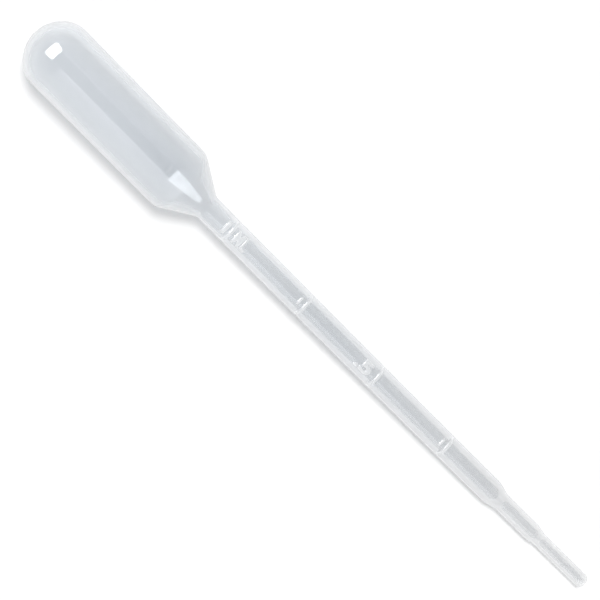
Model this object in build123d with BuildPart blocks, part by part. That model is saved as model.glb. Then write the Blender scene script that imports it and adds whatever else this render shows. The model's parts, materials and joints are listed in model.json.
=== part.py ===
from build123d import *

import os
from math import asin, atan2, cos, hypot, sin, sqrt, tan

# Plastic dropper pipette, moulded in one piece from low-density polyethylene.
# A hollow bulb runs through a conical shoulder into a graduated stem, which
# steps down twice to a fine open tip. It lies on its side, as it rests on a
# bench: on a small flat at the shoulder edge of the soft bulb and on the rim of
# the tip, with the graduations on top. +X runs from the bulb to the tip and +Z
# is up.

# Lengths along the axis, bulb end first
dome_length = 6.1
bulb_straight = 31.5
shoulder_length = 7.3
stem_length = 81.9
first_step_length = 2.8
middle_length = 9.8
second_step_length = 2.0
tip_length = 13.6

# Outside diameters
bulb_diameter = 13.3
stem_diameter = 5.0
middle_diameter = 3.65
tip_diameter = 2.9

# Walls: thin where the plastic was blown out the most
dome_wall = 0.45
bulb_wall = 0.4
stem_wall = 0.52
middle_wall = 0.6
tip_wall = 0.65

# Blends in the lengthwise section
shoulder_blend = 3.0
neck_blend = 3.0
step_blend = 4.0
mouth_round = 0.25

# Graduations: raised arcs on top of the stem, one for each 0.25 ml held in it
mark_spacing = 20.4
lowest_mark_height = 14.8
top_mark_clearance = 4.0
mark_width = 1.0
mark_height = 0.2
mark_arc = 130.0

# How deep the bench presses into the soft bulb
flat_depth = 0.1

bulb_radius = bulb_diameter / 2
stem_radius = stem_diameter / 2
middle_radius = middle_diameter / 2
tip_radius = tip_diameter / 2

# Where each stretch ends, measured along the axis from the end of the bulb
bulb_end = dome_length + bulb_straight
shoulder_end = bulb_end + shoulder_length
stem_end = shoulder_end + stem_length
first_step_end = stem_end + first_step_length
middle_end = first_step_end + middle_length
second_step_end = middle_end + second_step_length
mouth = second_step_end + tip_length

# The pipette touches the bench on two rounded edges: the blend between bulb and
# shoulder, flattened there by flat_depth, and the rim of the mouth. Its axis
# leans down towards the tip so that both are on z = 0.
shoulder_turn = atan2(bulb_radius - stem_radius, shoulder_length)
heel_position = bulb_end - shoulder_blend * tan(shoulder_turn / 2)
heel_offset = bulb_radius - shoulder_blend
rim_position = mouth - mouth_round
rim_offset = tip_radius - mouth_round
reach = rim_position - heel_position
drop = heel_offset - rim_offset
heel_height = shoulder_blend - flat_depth
lean = atan2(drop, reach) + asin((heel_height - mouth_round) / hypot(reach, drop))

# The middle of the whole length, and the bench below it, are the origin.
dome_reach = hypot(dome_length * cos(lean), bulb_radius * sin(lean))
lowest_x = dome_length * cos(lean) - dome_reach
highest_x = rim_position * cos(lean) + rim_offset * sin(lean) + mouth_round
tail = Vector(
    -(lowest_x + highest_x) / 2,
    0,
    heel_position * sin(lean) + heel_offset * cos(lean) + heel_height,
)
along = Vector(cos(lean), 0, -sin(lean))
side = Vector(0, 1, 0)
centreline = Axis(tail, along)

# Lengthwise section: x runs along the axis from the end of the bulb, y down
section = Plane(origin=tail, x_dir=along, z_dir=side)
# The same section turned up to where the graduation arcs begin
mark_turn = 180 - mark_arc / 2
mark_section = Plane(origin=tail, x_dir=along, z_dir=side.rotate(centreline, mark_turn))


def wall_line(wall_at_bulb, wall_at_stem, wall_at_middle, wall_at_tip):
    """The corners of the section this far inside the outer surface."""
    return [
        (dome_length, bulb_radius - wall_at_bulb),
        (bulb_end, bulb_radius - wall_at_bulb),
        (shoulder_end, stem_radius - wall_at_stem),
        (stem_end, stem_radius - wall_at_stem),
        (first_step_end, middle_radius - wall_at_middle),
        (middle_end, middle_radius - wall_at_middle),
        (second_step_end, tip_radius - wall_at_tip),
        (mouth, tip_radius - wall_at_tip),
    ]


def dome_line(wall_at_end, wall_at_side):
    """The dome's quarter ellipse this far inside the outer surface, as one cubic curve."""
    length = dome_length - wall_at_end
    radius = bulb_radius - wall_at_side
    handle = 4 / 3 * (sqrt(2) - 1)
    Bezier(
        (wall_at_end, 0),
        (wall_at_end, radius * handle),
        (dome_length - length * handle, radius),
        (dome_length, radius),
    )


outside = wall_line(0, 0, 0, 0)
inside = wall_line(bulb_wall, stem_wall, middle_wall, tip_wall)
outer_blends = [shoulder_blend, neck_blend] + [step_blend] * 4
inner_blends = [shoulder_blend - bulb_wall, neck_blend + stem_wall] + [step_blend] * 4
mouth_blends = [mouth_round, mouth_round]

with BuildPart() as pipette:
    # The whole skin, from the dome over the stem to the mouth and back inside
    with BuildSketch(section):
        with BuildLine():
            dome_line(0, 0)
            FilletPolyline(
                *outside,
                *reversed(inside),
                radius=outer_blends + mouth_blends + inner_blends[::-1],
            )
            dome_line(dome_wall, bulb_wall)
            Line((dome_wall, 0), (0, 0))
        make_face()
    revolve(axis=centreline)

    # Graduations, as many as the stem has room for, counted up from the tip
    marked_length = stem_length - lowest_mark_height - top_mark_clearance
    for step in range(1 + int(marked_length / mark_spacing)):
        mark_position = stem_end - lowest_mark_height - step * mark_spacing
        with BuildSketch(mark_section):
            with Locations((mark_position, stem_radius)):
                Ellipse(mark_width / 2, mark_height)
        revolve(axis=centreline, revolution_arc=mark_arc)

    # The flat that keeps the soft bulb from rolling
    with Locations((tail.X + heel_position, 0, 0)):
        Box(
            bulb_diameter,
            bulb_diameter,
            2 * flat_depth,
            align=(Align.CENTER, Align.CENTER, Align.MAX),
            mode=Mode.SUBTRACT,
        )

pipette.part.label = "pipette"
os.makedirs("parts", exist_ok=True)
export_step(pipette.part, "parts/pipette.step")
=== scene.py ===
import json
from math import atan2, cos, hypot, pi, radians, sin, tan

import bmesh
import bpy
from bpy.props import FloatProperty, FloatVectorProperty, IntProperty, PointerProperty
from mathutils import Matrix, Vector
from mathutils.bvhtree import BVHTree


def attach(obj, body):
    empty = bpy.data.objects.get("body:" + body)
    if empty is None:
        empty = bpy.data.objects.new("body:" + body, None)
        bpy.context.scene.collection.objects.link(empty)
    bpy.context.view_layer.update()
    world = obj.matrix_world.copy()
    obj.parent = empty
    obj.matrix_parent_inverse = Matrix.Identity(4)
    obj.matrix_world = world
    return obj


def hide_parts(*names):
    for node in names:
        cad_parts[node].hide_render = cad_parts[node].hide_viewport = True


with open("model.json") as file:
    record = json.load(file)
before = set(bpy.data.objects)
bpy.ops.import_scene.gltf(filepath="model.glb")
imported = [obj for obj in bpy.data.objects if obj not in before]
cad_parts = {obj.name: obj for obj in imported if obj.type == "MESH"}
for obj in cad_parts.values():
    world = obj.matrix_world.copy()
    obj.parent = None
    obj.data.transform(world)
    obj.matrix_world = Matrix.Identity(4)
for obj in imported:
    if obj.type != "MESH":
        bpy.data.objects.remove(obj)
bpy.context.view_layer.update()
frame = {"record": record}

bl_info = {
    "name": "Dropper Pipette",
    "version": (1, 0, 0),
    "blender": (4, 5, 0),
    "location": "View3D > Sidebar > Pipette",
    "description": "A graduated dropper pipette moulded in one piece, and a white studio for it",
    "category": "Add Mesh",
}

MOUNTS = {mount["name"]: mount for mount in frame["record"]["mounts"]}
MM = 0.001
MERGE = 1e-6  # points closer than this, in metres, are one
COARSE_STEP = 3 * MM  # longest face along the plain runs
DOME_STEPS = 20  # faces from the pole of the dome to its side
BLEND_STEPS = 8  # faces along each rounded corner of the skin
LIP_STEPS = 5  # faces along each edge of the mouth


def linear(hex_colour):
    """A colour written as sRGB hex, such as D9DFE6, as linear red, green and blue."""
    parts = [int(hex_colour[i : i + 2], 16) / 255 for i in (0, 2, 4)]
    return tuple(p / 12.92 if p <= 0.04045 else ((p + 0.055) / 1.055) ** 2.4 for p in parts)


def length(name, description, millimetres):
    """A property that holds a length."""
    return FloatProperty(
        name=name,
        description=description,
        default=millimetres * MM,
        min=0,
        precision=5,
        unit="LENGTH",
    )


def share(name, description, default):
    """A property that holds a share, from 0 to 1."""
    return FloatProperty(
        name=name, description=description, default=default, min=0, max=1, subtype="FACTOR"
    )


def angle(name, description, degrees):
    """A property that holds an angle."""
    return FloatProperty(
        name=name, description=description, default=radians(degrees), subtype="ANGLE"
    )


def colour(name, description, hex_colour):
    """A property that holds a colour."""
    return FloatVectorProperty(
        name=name,
        description=description,
        default=linear(hex_colour),
        min=0,
        max=1,
        size=3,
        subtype="COLOR",
    )


class PipetteSizes(bpy.types.PropertyGroup):
    """The moulding: lengths along its axis from the bulb's end, diameters, walls and blends."""

    dome_length: length("Dome length", "Rounded end of the bulb", 6.1)
    bulb_straight: length("Bulb length", "Straight part of the bulb", 31.5)
    shoulder_length: length("Shoulder length", "Cone between bulb and stem", 7.3)
    stem_length: length("Stem length", "Graduated stem", 81.9)
    first_step_length: length("First step", "Taper from the stem to the middle tube", 2.8)
    middle_length: length("Middle length", "Tube between the two steps", 9.8)
    second_step_length: length("Second step", "Taper from the middle tube to the tip", 2.0)
    tip_length: length("Tip length", "Last tube, up to the mouth", 13.6)

    bulb_diameter: length("Bulb diameter", "Outside of the bulb", 13.3)
    middle_diameter: length("Middle diameter", "Outside of the middle tube", 3.65)

    dome_wall: length("Dome wall", "Wall at the end of the bulb", 0.45)
    bulb_wall: length("Bulb wall", "Wall round the bulb", 0.4)
    stem_wall: length("Stem wall", "Wall round the stem", 0.52)
    middle_wall: length("Middle wall", "Wall round the middle tube", 0.6)
    tip_wall: length("Tip wall", "Wall round the tip", 0.65)

    shoulder_blend: length("Shoulder blend", "Rounding between bulb and shoulder", 3.0)
    neck_blend: length("Neck blend", "Hollow between shoulder and stem", 3.0)
    step_blend: length("Step blend", "Rounding at both ends of each step", 4.0)
    mouth_round: length("Mouth rounding", "Rounded rim of the mouth in the solid", 0.25)
    lip_round: length("Lip rounding", "Outer edge of the mouth, melted rounder", 0.5)
    lip_inside: length("Lip inside", "Inner edge of the mouth", 0.12)
    bow: length("Bow", "How far the moulding is bowed towards the near side", 0.13)
    bow_length: length("Bow length", "From the bulb's end to where the bow crosses back", 108)

    around: IntProperty(
        name="Facets around", description="Faces round the axis", default=144, min=24
    )


class GraduationSizes(bpy.types.PropertyGroup):
    """The raised marks and numerals on top of the stem."""

    count: IntProperty(name="Graduations", description="Lines up the stem", default=4, min=1)
    spacing: length("Spacing", "From one graduation to the next", 20.4)
    lowest: length("Lowest mark", "From the first step up to the lowest graduation", 14.8)
    width: length("Line width", "Raised line, along the stem", 1.0)
    height: length("Line height", "How far the lines stand out of the stem", 0.25)
    arc: angle("Line arc", "How far each line goes round the stem", 130)
    arc_fade: angle("Line end", "How gently each line ends", 10)
    dash_gap: length("Dash gap", "From a line up to the short dash beside it", 1.5)
    dash_width: length("Dash width", "Short dash, along the stem", 0.8)
    dash_height: length("Dash height", "How far the short dash stands out", 0.25)
    dash_arc: angle("Dash arc", "How far the short dash goes round the stem", 44)
    letter_height: length("Letter height", "Numerals and letters, round the stem", 2.6)
    letter_rise: length("Letter rise", "How far numerals and letters stand out", 0.3)
    edge: length("Letter edge", "How far the sides of the letters are rounded", 0.1)
    mesh_step: length("Mesh step", "Rings of faces under the marks", 0.1)


class PlasticLook(bpy.types.PropertyGroup):
    """Low-density polyethylene: its colours, how much of what is behind it shows through, and the
    painted shade that darkens what shows through the stem.
    """

    milk: colour("Milk", "Colour of the cloudy plastic in reflected light", "FDFEFF")
    glow: colour("Glow", "Colour of the light that seeps through the wall", "FDFDFD")
    bulb_tint: colour("Bulb tint", "Colour of what shows through one face of the bulb", "FDFEFF")
    # Painted shade: the stem tint is darker than the bulb's. It stands for the darker surroundings
    # seen through the stem's thick wall more than for that wall's own colour.
    stem_tint: colour("Stem tint", "Colour of what shows through one face of the stem", "F7F8F9")
    tip_tint: colour("Tip tint", "Colour of what shows through one face of the tip", "FCFCFC")
    shade: colour("Shade", "Colour of the lamps' light past one face, which dims it", "DDE1E6")
    cloud: FloatProperty(
        name="Cloudiness",
        description="How much one face of the wall hides, seen square on",
        default=0.125,
        min=0,
    )
    mark_cloud: FloatProperty(
        name="Mark cloudiness",
        description="How many times more the thick plastic of a whole mark hides",
        default=5,
        min=0,
    )
    seep: share("Seeping", "Share of the cloud's light that comes from behind", 0.5)
    bulb_edge: share("Bulb edge", "How far aslant the bulb's wall starts to look white", 0.4)
    bulb_fade: share("Bulb fade", "From there to where it is whitest", 0.2)
    stem_edge: share("Stem edge", "How far aslant the stem's wall starts to look white", 0.18)
    stem_fade: share("Stem fade", "From there to where it is whitest", 0.08)
    edge_cloud: share("Edge cloudiness", "How much the white edge hides", 0.42)
    roughness: share("Roughness", "Of the waxy surface", 0.085)
    mark_roughness: share("Mark roughness", "Of the duller tops of the raised marks", 0.35)
    edge_lead: length("Edge lead", "How far before the stem its white edge starts to widen", 2)
    edge_run: length("Edge run", "How far along the stem the edge is full width", 7)
    # Painted shade: the next three place the ramp to the darker stem tint and back to the clearer
    # tip tint. The darker tint stands for the darker surroundings seen through the stem more than
    # for its thicker wall.
    stem_shade_lead: length("Wall lead", "How far before the shoulder the wall starts to thicken", 12)
    stem_shade_run: length("Wall run", "How far along the stem the wall is thickest", 27)
    tip_start: length("Tip start", "How far along the stem it starts to clear towards the tip", 35)


class StudioLook(bpy.types.PropertyGroup):
    """The white table, the lights and the camera."""

    table: colour("Table", "Plain white paper", "F2F2F2")
    table_size: length("Table size", "From its middle to its edges", 4000)
    room: colour("Room", "White walls and ceiling", "FFFFFF")
    room_light: FloatProperty(name="Room light", description="Light from the walls", default=0.64)
    sun_slope: angle("Sun slope", "From straight up, towards the bulb's end", 22)
    sun_side: angle("Sun side", "From straight up, towards the far side", 11)
    sun_softness: angle("Sun softness", "How wide it looks", 15)
    sun_power: FloatProperty(name="Sun power", description="Watts per square metre", default=1.75)
    panel_slope: angle("Panel slope", "Between its middle and straight up, on the near side", 54)
    panel_distance: length("Panel distance", "From the pipette", 400)
    panel_shift: length("Panel shift", "Towards the tip", 260)
    panel_width: length("Panel width", "Along the pipette", 520)
    panel_height: length("Panel height", "Up and down", 560)
    panel_fade: share("Panel fade", "Share of its width that is dimmer, at the bulb's end", 0.15)
    panel_power: FloatProperty(name="Panel power", description="In watts", default=1.6)
    fill_distance: length("Fill distance", "From the pipette", 1500)
    fill_width: length("Fill width", "Along the pipette", 3000)
    fill_thickness: length("Fill thickness", "Up and down", 400)
    fill_height: angle("Fill height", "Low side light on the near side, above the table", 12)
    fill_power: FloatProperty(name="Fill power", description="In watts", default=5)
    box_slope: angle("Softbox slope", "Between it and straight up, on the bulb's side", 50)
    box_side: angle("Softbox side", "Towards the far side", 5)
    box_distance: length("Softbox distance", "From the pipette", 1500)
    box_width: length("Softbox width", "Across the pipette", 1180)
    box_height: length("Softbox height", "Up and down", 980)
    box_power: FloatProperty(name="Softbox power", description="In watts", default=42)
    camera_tilt: angle("Camera tilt", "From square to the pipette, towards its bulb", 22)
    camera_turn: angle("Camera turn", "How far the tip points down to the right", 45.2)
    camera_distance: length("Camera distance", "From the lens to the pipette", 496)
    camera_aim: share("Camera aim", "Where along the pipette it looks", 0.4558)
    camera_lens: FloatProperty(name="Lens", description="Focal length in mm", default=161.6)


def put(tree, kind, inputs, **settings):
    """Adds a node with its settings and inputs, which are values or links. Returns its outputs."""
    node = tree.nodes.new(kind)
    for name, value in settings.items():
        setattr(node, name, value)
    for name, value in inputs.items():
        if isinstance(value, bpy.types.NodeSocket):
            tree.links.new(value, node.inputs[name])
        else:
            node.inputs[name].default_value = value
    return node.outputs


class Stretches:
    """Where each stretch of the moulding ends, along the axis from the end of the bulb."""

    def __init__(self, sizes):
        self.bulb_end = sizes.dome_length + sizes.bulb_straight
        self.shoulder_end = self.bulb_end + sizes.shoulder_length
        self.stem_end = self.shoulder_end + sizes.stem_length
        self.first_step_end = self.stem_end + sizes.first_step_length
        self.middle_end = self.first_step_end + sizes.middle_length
        self.second_step_end = self.middle_end + sizes.second_step_length
        self.mouth = self.second_step_end + sizes.tip_length


# Raised words: which line up the stem they belong to, and where they start and end
# along the stem from it, in mm, with the tip's side positive
WORDS = (
    (".5", 1, -5.5, -1.7),
    ("1", 3, -1.7, -0.9),
    ("ML", 3, 1.1, 4.4),
)
THICKNESS = "mark_thickness"  # on each point, 1 where a line is thickest
BOLD = 0.035  # how far the outlines of the letters are pushed out, as a share of their size
ZONE_MARGIN = 0.8 * MM  # finely meshed, on both sides of lines and words


def radius_of(mount):
    """The outside radius at one of the part's mounts."""
    return MOUNTS[mount]["dims"]["r_mm"] * MM


def placing(sizes):
    """The matrix that takes the moulding from its own axis to where the frame has it."""
    stretches = Stretches(sizes)
    along = Vector(MOUNTS["tip"]["axis"]).normalized()
    half = MOUNTS["tip"]["dims"]["length_mm"] * MM / 2
    tip_middle = stretches.mouth - sizes.mouth_round - half
    tail = Vector(MOUNTS["tip"]["pos_m"]) - along * tip_middle
    across = Vector((0, 1, 0))
    up = along.cross(across)
    turned = Matrix((along, across, up)).transposed().to_4x4()
    return Matrix.Translation(tail) @ turned


def line_position(marks, stretches, number):
    """Where a graduation is along the axis. Number 0 is the lowest."""
    return stretches.stem_end - marks.lowest - marks.spacing * number


def has_words(number):
    """True for a graduation that carries a numeral. The others carry a short dash."""
    return any(number == line for words, line, start, end in WORDS)


def marked_zones(marks, stretches):
    """The stretches of the stem that carry raised marks, as (start, end)."""
    zones = []
    for number in range(marks.count):
        line = line_position(marks, stretches, number)
        reach = [0] + [x * MM for words, owner, *ends in WORDS if owner == number for x in ends]
        if not has_words(number):
            reach.append(-marks.dash_gap)
        zones.append((line + min(reach) - ZONE_MARGIN, line + max(reach) + ZONE_MARGIN))
    return zones


def skin_corners(sizes, stretches, inside):
    """Corners of the outer or inner skin, from bulb to mouth, as (along, out, blend)."""
    bulb = sizes.bulb_diameter / 2 - sizes.bulb_wall * inside
    stem = radius_of("stem") - sizes.stem_wall * inside
    middle = sizes.middle_diameter / 2 - sizes.middle_wall * inside
    tip = radius_of("tip") - sizes.tip_wall * inside
    shoulder_blend = sizes.shoulder_blend - sizes.bulb_wall * inside
    neck_blend = sizes.neck_blend + sizes.stem_wall * inside
    return [
        (stretches.bulb_end, bulb, shoulder_blend),
        (stretches.shoulder_end, stem, neck_blend),
        (stretches.stem_end, stem, sizes.step_blend),
        (stretches.first_step_end, middle, sizes.step_blend),
        (stretches.middle_end, middle, sizes.step_blend),
        (stretches.second_step_end, tip, sizes.step_blend),
        (stretches.mouth, tip, 0),
    ]


def draw_skin(bm, sizes, stretches, zones, inside):
    """Draws one skin as a line above the axis, from the dome's pole to the mouth.

    Returns the point at the mouth.
    """
    corners = skin_corners(sizes, stretches, inside)
    dome_pole = sizes.dome_wall * inside
    pole = bmesh.ops.create_vert(bm, co=(dome_pole, 0, 0))["vert"][0]
    centre = (sizes.dome_length, 0, 0)
    arc = bmesh.ops.spin(
        bm, geom=[pole], cent=centre, axis=(0, 1, 0), angle=pi / 2, steps=DOME_STEPS
    )
    flatten = corners[0][1] / (sizes.dome_length - dome_pole)
    dome = [vert for vert in bm.verts if not vert.tag]
    bmesh.ops.scale(bm, vec=(1, 1, flatten), verts=dome)
    last = next(v for v in arc["geom_last"] if isinstance(v, bmesh.types.BMVert))
    stem = corners[1][1]
    corners += [(x, stem, 0) for zone in zones for x in zone]
    rounded = []
    for x, out, blend in sorted(corners):
        last = bmesh.ops.extrude_vert_indiv(bm, verts=[last])["verts"][0]
        last.co = (x, 0, out)
        if blend:
            rounded.append((last, blend))
    for vert, blend in rounded:
        round_corner(bm, vert, blend, BLEND_STEPS)
    for vert in bm.verts:
        vert.tag = True
    return last


def round_corner(bm, vert, blend, steps):
    """Turns a corner of a line into an arc of that radius."""
    one, other = (edge.other_vert(vert).co - vert.co for edge in vert.link_edges)
    turn = pi - one.angle(other)
    bmesh.ops.bevel(
        bm,
        geom=[vert],
        offset=blend * tan(turn / 2),
        offset_type="OFFSET",
        segments=steps,
        profile=0.5,
        affect="VERTICES",
        material=-1,
    )


def divide_lengths(bm, zones, fine_step):
    """Divides the straight runs of both skins, finely where the outer one carries marks."""
    for edge in bm.edges[:]:
        low, high = sorted(vert.co.x for vert in edge.verts)
        marked = any(start - MERGE < low and high < end + MERGE for start, end in zones)
        cuts = int((high - low) / (fine_step if marked else COARSE_STEP))
        if cuts:
            bmesh.ops.subdivide_edges(bm, edges=[edge], cuts=cuts)


class PIPETTE_OT_body(bpy.types.Operator):
    """Mould the body: bulb, shoulder, stem and stepped tip, hollow, with its open mouth"""

    bl_idname = "pipette.body"
    bl_label = "Mould the body"

    def execute(self, context):
        sizes = context.scene.pipette_sizes
        marks = context.scene.pipette_marks
        stretches = Stretches(sizes)
        zones = marked_zones(marks, stretches)
        bm = bmesh.new()
        outer_rim = draw_skin(bm, sizes, stretches, zones, inside=False)
        inner_rim = draw_skin(bm, sizes, stretches, [], inside=True)
        bmesh.ops.contextual_create(bm, geom=[outer_rim, inner_rim])
        for rim, blend in ((outer_rim, sizes.lip_round), (inner_rim, sizes.lip_inside)):
            round_corner(bm, rim, blend, LIP_STEPS)
        divide_lengths(bm, zones, marks.mesh_step)
        bmesh.ops.spin(
            bm,
            geom=bm.verts[:] + bm.edges[:],
            cent=(0, 0, 0),
            axis=(1, 0, 0),
            angle=2 * pi,
            steps=sizes.around,
            use_merge=True,
        )
        bmesh.ops.remove_doubles(bm, verts=bm.verts, dist=MERGE)
        bmesh.ops.recalc_face_normals(bm, faces=bm.faces)
        # The outer skin takes the first material and the inner skin the second
        for face in bm.faces:
            outwards = face.calc_center_median() * Vector((0, 1, 1))
            face.material_index = int(face.normal.dot(outwards) < 0)
        raise_marks(bm, marks, stretches, zones)
        bow_sideways(bm, sizes)
        bmesh.ops.transform(bm, matrix=placing(sizes), verts=bm.verts)
        rest_on_table(bm)
        for face in bm.faces:
            face.smooth = True
        mesh = bpy.data.meshes.new("pipette_moulding")
        bm.to_mesh(mesh)
        bm.free()
        if not mesh.polygons:
            raise RuntimeError("the moulding has no faces")
        look = context.scene.pipette_plastic
        changes = plastic_changes(look, stretches, placing(sizes))
        for inside in (False, True):
            mesh.materials.append(polyethylene(look, changes, inside))
        body = bpy.data.objects.new("pipette_moulding", mesh)
        context.scene.collection.objects.link(body)
        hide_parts("pipette")
        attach(body, "root")
        return {"FINISHED"}


def bow_sideways(bm, sizes):
    """Bows the moulding in a parabola that leaves both ends of the bow's length in place."""
    for vert in bm.verts:
        reach = vert.co.x / sizes.bow_length
        vert.co.y += 4 * sizes.bow * reach * (reach - 1)


def plastic_changes(look, stretches, axis):
    """Where the white edge, the painted stem shade and the tip tint change, each from one X to
    another.
    """
    edge = (stretches.shoulder_end - look.edge_lead, stretches.shoulder_end + look.edge_run)
    # Painted shade: this ramp darkens what shows through the stem, for the darker surroundings
    # seen through its thick wall.
    wall = (stretches.bulb_end - look.stem_shade_lead, stretches.shoulder_end + look.stem_shade_run)
    tip = (stretches.shoulder_end + look.tip_start, stretches.middle_end)
    return [[(axis @ Vector((x, 0, 0))).x for x in change] for change in (edge, wall, tip)]


def rest_on_table(bm):
    """The soft bulb is pressed flat where it touches the table."""
    for vert in bm.verts:
        vert.co.z = max(vert.co.z, 0)


def flat_letters(letters, words, start, end, height):
    """Adds words to a bmesh, flat, between two places along the stem and centred on its top."""
    curve = bpy.data.curves.new("letters", "FONT")
    curve.body = words
    curve.offset = BOLD
    holder = bpy.data.objects.new("letters", curve)
    mesh = bpy.data.meshes.new_from_object(holder)
    xs = [vert.co.x for vert in mesh.vertices]
    ys = [vert.co.y for vert in mesh.vertices]
    middle = Vector(((min(xs) + max(xs)) / 2, (min(ys) + max(ys)) / 2, 0))
    size = ((end - start) / (max(xs) - min(xs)), height / (max(ys) - min(ys)), 1)
    place = Matrix.Translation(((start + end) / 2, 0, 0)) @ Matrix.Diagonal(size).to_4x4()
    mesh.transform(place @ Matrix.Translation(-middle))
    letters.from_mesh(mesh)
    bpy.data.meshes.remove(mesh)
    bpy.data.objects.remove(holder)
    bpy.data.curves.remove(curve)


def hump(distance, half_width):
    """1 at the middle of a rounded ridge, falling smoothly to 0 at half its width."""
    return 0 if abs(distance) >= half_width else (1 + cos(pi * distance / half_width)) / 2


def ease(value):
    """Smoothly from 0 to 1 as value goes from 0 to 1."""
    value = min(max(value, 0), 1)
    return value * value * (3 - 2 * value)


def covered(letters, x, y, edge):
    """The share of a small round spot that lies on the letters, from its middle and two rings."""
    ring = [Vector((cos(turn), sin(turn), 0)) for turn in (pi * k / 4 for k in range(8))]
    spots = [Vector((0, 0, 0)), *ring, *(spot / 2 for spot in ring)]
    above, down = Vector((x, y, 1)), Vector((0, 0, -1))
    hits = (letters.ray_cast(above + spot * edge, down)[0] for spot in spots)
    return sum(hit is not None for hit in hits) / len(spots)


def raise_marks(bm, marks, stretches, zones):
    """Raises lines, dashes, numerals and letters out of the stem, as one skin with it."""
    stem_radius = radius_of("stem")
    ridges = []
    for number in range(marks.count):
        line = line_position(marks, stretches, number)
        ridges.append((line, marks.width, marks.height, marks.arc))
        if not has_words(number):
            dash = line - marks.dash_gap
            ridges.append((dash, marks.dash_width, marks.dash_height, marks.dash_arc))
    flat = bmesh.new()
    for words, number, start, end in WORDS:
        line = line_position(marks, stretches, number)
        flat_letters(flat, words, line + start * MM, line + end * MM, marks.letter_height)
    letters = BVHTree.FromBMesh(flat)
    flat.free()
    thickness = bm.verts.layers.float.new(THICKNESS)
    for vert in bm.verts:
        x, across, up = vert.co
        outside = hypot(across, up) > stem_radius - MERGE
        if not outside or not any(start < x < end for start, end in zones):
            continue
        turn = atan2(across, up)
        rise = 0
        for middle, width, height, arc in ridges:
            ends = ease((arc / 2 - abs(turn)) / marks.arc_fade)
            rise = max(rise, height * ends * hump(x - middle, width / 2))
        on_letter = covered(letters, x, turn * stem_radius, marks.edge)
        rise = max(rise, marks.letter_rise * ease(on_letter))
        vert[thickness] = rise / marks.height
        vert.co.y += rise * sin(turn)
        vert.co.z += rise * cos(turn)


IOR = 1.51  # of polyethylene
CLOUD_LENGTH = 9.09 * MM  # of the clouds in the wall
CLOUD_WIDTH = 3.03 * MM
UNEVENNESS = 0.12  # how much cloudier or clearer the wall gets there
LONGEST_WAY = 10  # times the wall, where it is seen nearly along itself
PEEL_SIZE = 3.33 * MM  # from dimple to dimple
PEEL_DEPTH = 0.02 * MM


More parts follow.
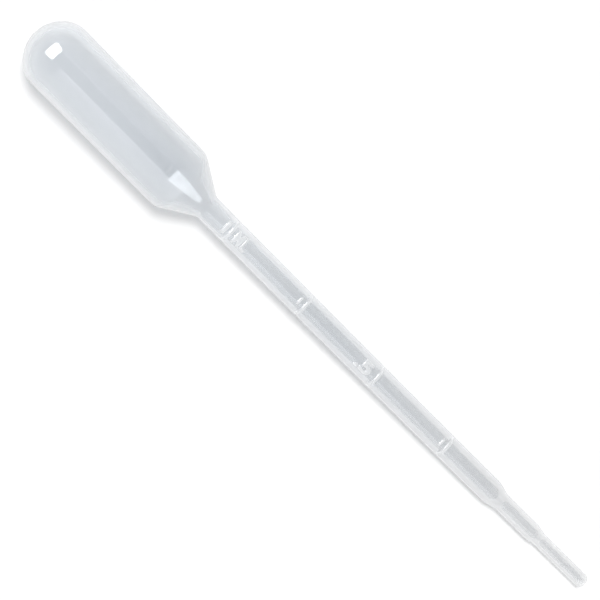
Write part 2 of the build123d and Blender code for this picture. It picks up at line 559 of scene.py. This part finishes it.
def polyethylene(look, changes, inside):
    """Low-density polyethylene, blow-moulded: cloudy, waxy, and clear enough to see through.

    Each face of the wall hides a little of what is behind it, more where it is seen
    aslant and most where a raised mark makes it thick. Light that runs along inside the
    wall comes out at the edges of the tube, as a whiter strip. What hides the view is a
    milky mixture of light thrown back and light seeping through. changes comes from
    plastic_changes.
    """
    material = bpy.data.materials.new("polyethylene_inside" if inside else "polyethylene_outside")
    material.use_nodes = True
    tree = material.node_tree
    tree.nodes.clear()
    place = put(tree, "ShaderNodeTexCoord", {})["Object"]
    along = put(tree, "ShaderNodeSeparateXYZ", {0: place})["X"]
    on_stem, stem_shaded, on_tip = (
        put(tree, "ShaderNodeMapRange", {"Value": along, "From Min": start, "From Max": end})[0]
        for start, end in changes
    )

    # Faint clouds in the wall, drawn out lengthwise, because the plastic was blown unevenly
    across = 1 / CLOUD_WIDTH
    stretched = {"Vector": place, "Scale": (1 / CLOUD_LENGTH, across, across)}
    lengthwise = put(tree, "ShaderNodeMapping", stretched)[0]
    clouds = put(tree, "ShaderNodeTexNoise", {"Vector": lengthwise, "Scale": 1, "Detail": 2})[0]
    uneven = {"Value": clouds, "To Min": 1 - UNEVENNESS, "To Max": 1 + UNEVENNESS}
    cloud = put(tree, "ShaderNodeMapRange", uneven)[0]

    # What one face hides grows with the way through the wall
    aslant = put(tree, "ShaderNodeLayerWeight", {"Blend": 0.5})["Facing"]
    facing = put(tree, "ShaderNodeMath", {0: 1, 1: aslant}, operation="SUBTRACT")[0]
    limited = put(tree, "ShaderNodeMath", {0: facing, 1: 1 / LONGEST_WAY}, operation="MAXIMUM")[0]
    mark = put(tree, "ShaderNodeAttribute", {}, attribute_name=THICKNESS)["Fac"]
    thicker_there = {"Value": mark, "To Min": 1, "To Max": 1 + look.mark_cloud}
    marked = put(tree, "ShaderNodeMapRange", thicker_there)[0]
    filled = put(tree, "ShaderNodeMath", {0: cloud, 1: marked}, operation="MULTIPLY")[0]
    depth = put(tree, "ShaderNodeMath", {0: filled, 1: limited}, operation="DIVIDE")[0]
    passed = put(tree, "ShaderNodeMath", {0: 1 - look.cloud, 1: depth}, operation="POWER")[0]

    # The white strip on the outside starts sooner on the stem, whose wall is thick for its width
    if not inside:
        edge, fade = (
            put(tree, "ShaderNodeMapRange", {"Value": on_stem, "To Min": low, "To Max": high})[0]
            for low, high in ((look.bulb_edge, look.stem_edge), (look.bulb_fade, look.stem_fade))
        )
        past_edge = put(tree, "ShaderNodeMath", {0: aslant, 1: edge}, operation="SUBTRACT")[0]
        whiter = {"Value": past_edge, "From Max": fade, "To Min": 1, "To Max": 1 - look.edge_cloud}
        strip = put(tree, "ShaderNodeMapRange", whiter)[0]
        passed = put(tree, "ShaderNodeMath", {0: passed, 1: strip}, operation="MULTIPLY")[0]

    duller = {"Value": mark, "To Min": look.roughness, "To Max": look.mark_roughness}
    roughness = put(tree, "ShaderNodeMapRange", duller)[0]

    # A skin like very faint orange peel
    peeled = {"Vector": place, "Scale": 1 / PEEL_SIZE, "Detail": 1}
    peel = put(tree, "ShaderNodeTexNoise", peeled)[0]
    dimples = {"Height": peel, "Strength": 0.04, "Distance": PEEL_DEPTH}
    normal = put(tree, "ShaderNodeBump", dimples)[0]

    milk = put(
        tree,
        "ShaderNodeBsdfPrincipled",
        {"Base Color": (*look.milk, 1), "Roughness": roughness, "IOR": IOR, "Normal": normal},
    )[0]
    glow = put(tree, "ShaderNodeBsdfTranslucent", {"Color": (*look.glow, 1), "Normal": normal})[0]
    cloudy = put(tree, "ShaderNodeMixShader", {0: look.seep, 1: milk, 2: glow})[0]

    # Painted shade: what shows through is darker on the stem, for the darker surroundings seen
    # through its thick wall, and clears again towards the tip.
    tint = (*look.bulb_tint, 1)
    for share_of, next_tint in ((stem_shaded, look.stem_tint), (on_tip, look.tip_tint)):
        tint = put(
            tree,
            "ShaderNodeMix",
            {"Factor": share_of, 6: tint, 7: (*next_tint, 1)},
            data_type="RGBA",
        )[2]
    seen = put(tree, "ShaderNodeBsdfTransparent", {"Color": tint})[0]
    lit = put(tree, "ShaderNodeBsdfTransparent", {"Color": (*look.shade, 1)})[0]
    lamplight = put(tree, "ShaderNodeLightPath", {})["Is Shadow Ray"]
    clear = put(tree, "ShaderNodeMixShader", {0: lamplight, 1: seen, 2: lit})[0]
    wall = put(tree, "ShaderNodeMixShader", {0: passed, 1: cloudy, 2: clear})[0]

    # The surface mirrors little square on and nearly all along it, growing as the fifth power
    grazing = put(tree, "ShaderNodeMath", {0: aslant, 1: 5}, operation="POWER")[0]
    square_on = ((IOR - 1) / (IOR + 1)) ** 2
    mirrored = put(tree, "ShaderNodeMapRange", {"Value": grazing, "To Min": square_on})[0]
    gloss = put(tree, "ShaderNodeBsdfGlossy", {"Roughness": roughness, "Normal": normal})[0]
    surface = put(tree, "ShaderNodeMixShader", {0: mirrored, 1: wall, 2: gloss})[0]
    put(tree, "ShaderNodeOutputMaterial", {"Surface": surface})
    return material


GRAIN_SIZE = 2.5 * MM  # of the paper, coarser than the real grain, which is too fine to show
GRAIN_DEPTH = 0.05 * MM


def paper(look):
    """Matt white paper, whose grain gives the eye a faint unevenness."""
    material = bpy.data.materials.new("white_paper")
    material.use_nodes = True
    tree = material.node_tree
    tree.nodes.clear()
    place = put(tree, "ShaderNodeTexCoord", {})["Object"]
    grainy = {"Vector": place, "Scale": 1 / GRAIN_SIZE, "Detail": 3}
    grain = put(tree, "ShaderNodeTexNoise", grainy)[0]
    uneven = {"Height": grain, "Strength": 0.05, "Distance": GRAIN_DEPTH}
    bump = put(tree, "ShaderNodeBump", uneven)[0]
    sheet = put(
        tree,
        "ShaderNodeBsdfPrincipled",
        {
            "Base Color": (*look.table, 1),
            "Roughness": 0.9,
            "Specular IOR Level": 0.1,
            "Normal": bump,
        },
    )[0]
    put(tree, "ShaderNodeOutputMaterial", {"Surface": sheet})
    return material


def lamp(scene, name, kind, towards, distance=1, **settings):
    """A lamp in the direction of towards from the middle of the pipette, which it shines on."""
    data = bpy.data.lights.new(name, kind)
    for setting, value in settings.items():
        setattr(data, setting, value)
    light = bpy.data.objects.new(name, data)
    light.location = towards * distance
    light.rotation_euler = towards.to_track_quat("Z", "Y").to_euler()
    scene.collection.objects.link(light)
    return light


def graded(light, dim_end):
    """Dims a panel from its upper edge down to its lower one, and at its bulb's end."""
    light.data.use_nodes = True
    tree = light.data.node_tree
    tree.nodes.clear()
    place = put(tree, "ShaderNodeNewGeometry", {})["Parametric"]
    along, up = put(tree, "ShaderNodeSeparateXYZ", {0: place})[:2]
    from_end = put(tree, "ShaderNodeMapRange", {"Value": along, "From Max": dim_end})[0]
    strength = put(tree, "ShaderNodeMath", {0: up, 1: from_end}, operation="MULTIPLY")[0]
    glow = put(tree, "ShaderNodeEmission", {"Strength": strength})[0]
    put(tree, "ShaderNodeOutputLight", {"Surface": glow})


def room(world, look):
    """The studio round the table: plain walls, which look white and light the pipette gently."""
    world.use_nodes = True
    tree = world.node_tree
    tree.nodes.clear()
    seen = put(tree, "ShaderNodeLightPath", {})["Is Camera Ray"]
    strength = put(tree, "ShaderNodeMapRange", {"Value": seen, "To Min": look.room_light})[0]
    light = put(tree, "ShaderNodeBackground", {"Color": (*look.room, 1), "Strength": strength})[0]
    put(tree, "ShaderNodeOutputWorld", {"Surface": light})


def white_table(scene, look):
    """The table, a sheet of white paper wide enough to have no edge in sight."""
    bm = bmesh.new()
    bmesh.ops.create_grid(bm, x_segments=1, y_segments=1, size=look.table_size)
    mesh = bpy.data.meshes.new("table")
    bm.to_mesh(mesh)
    bm.free()
    mesh.materials.append(paper(look))
    table = bpy.data.objects.new("table", mesh)
    scene.collection.objects.link(table)


def lamps(scene, look):
    """A soft sun and a low side light for the plastic, a softbox and a panel for its gloss."""
    over = Vector((-tan(look.sun_slope), tan(look.sun_side), 1)).normalized()
    sun = lamp(scene, "soft_sun", "SUN", over, energy=look.sun_power, angle=look.sun_softness)
    sun.visible_glossy = False
    behind = Vector((-tan(look.box_slope), tan(look.box_side), 1)).normalized()
    near = Vector((0, -sin(look.panel_slope), cos(look.panel_slope)))
    low = Vector((0, -cos(look.fill_height), sin(look.fill_height)))
    softbox, panel, fill = (
        lamp(scene, name, "AREA", towards, distance, energy=power, shape="RECTANGLE")
        for name, towards, distance, power in (
            ("softbox", behind, look.box_distance, look.box_power),
            ("panel", near, look.panel_distance, look.panel_power),
            ("fill", low, look.fill_distance, look.fill_power),
        )
    )
    for light, width, height, mirrored in (
        (softbox, look.box_width, look.box_height, True),
        (panel, look.panel_width, look.panel_height, True),
        (fill, look.fill_width, look.fill_thickness, False),
    ):
        light.data.size = width
        light.data.size_y = height
        light.visible_camera = False
        light.visible_diffuse = not mirrored
        light.visible_glossy = mirrored
    panel.location.x += look.panel_shift
    graded(panel, look.panel_fade)


def camera_above(scene, look, sizes):
    """The camera, looking down on the pipette from nearly square to it."""
    axis = placing(sizes)
    along = (axis @ Vector((1, 0, 0)) - axis.translation).normalized()
    across = Vector((0, 1, 0))
    up = along.cross(across)
    target = axis @ Vector((Stretches(sizes).mouth * look.camera_aim, 0, 0))
    back = up * cos(look.camera_tilt) - along * sin(look.camera_tilt)
    flat = along * cos(look.camera_tilt) + up * sin(look.camera_tilt)
    right = flat * cos(look.camera_turn) + across * sin(look.camera_turn)
    data = bpy.data.cameras.new("camera")
    data.lens = look.camera_lens
    data.dof.use_dof = False
    camera = bpy.data.objects.new("camera", data)
    turned = Matrix((right, back.cross(right), back)).transposed().to_4x4()
    camera.matrix_world = Matrix.Translation(target + back * look.camera_distance) @ turned
    scene.collection.objects.link(camera)
    scene.camera = camera


class PIPETTE_OT_stage(bpy.types.Operator):
    """Set the white table, the lights and the camera that looks down on the pipette"""

    bl_idname = "pipette.stage"
    bl_label = "Set the stage"

    def execute(self, context):
        scene = context.scene
        look = scene.pipette_studio
        white_table(scene, look)
        scene.world = bpy.data.worlds.new("studio")
        room(scene.world, look)
        lamps(scene, look)
        camera_above(scene, look, scene.pipette_sizes)
        scene.view_settings.view_transform = "Standard"
        return {"FINISHED"}


class PIPETTE_PT_panel(bpy.types.Panel):
    """Makes the pipette and its studio, step by step"""

    bl_label = "Dropper pipette"
    bl_space_type = "VIEW_3D"
    bl_region_type = "UI"
    bl_category = "Pipette"

    def draw(self, context):
        for operator in OPERATORS:
            self.layout.operator(operator.bl_idname)
        for name in GROUPS:
            group = getattr(context.scene, name)
            column = self.layout.column()
            for setting in group.bl_rna.properties.keys():
                if setting not in ("rna_type", "name"):
                    column.prop(group, setting)


OPERATORS = (PIPETTE_OT_body, PIPETTE_OT_stage)
GROUPS = {
    "pipette_sizes": PipetteSizes,
    "pipette_marks": GraduationSizes,
    "pipette_plastic": PlasticLook,
    "pipette_studio": StudioLook,
}


def register():
    for cls in (*GROUPS.values(), *OPERATORS, PIPETTE_PT_panel):
        bpy.utils.register_class(cls)
    for name, group in GROUPS.items():
        setattr(bpy.types.Scene, name, PointerProperty(type=group))


def unregister():
    for name in GROUPS:
        delattr(bpy.types.Scene, name)
    for cls in (PIPETTE_PT_panel, *reversed(OPERATORS), *GROUPS.values()):
        bpy.utils.unregister_class(cls)


def main():
    register()
    bpy.ops.pipette.body()
    bpy.ops.pipette.stage()


if __name__ == "__main__":
    main()
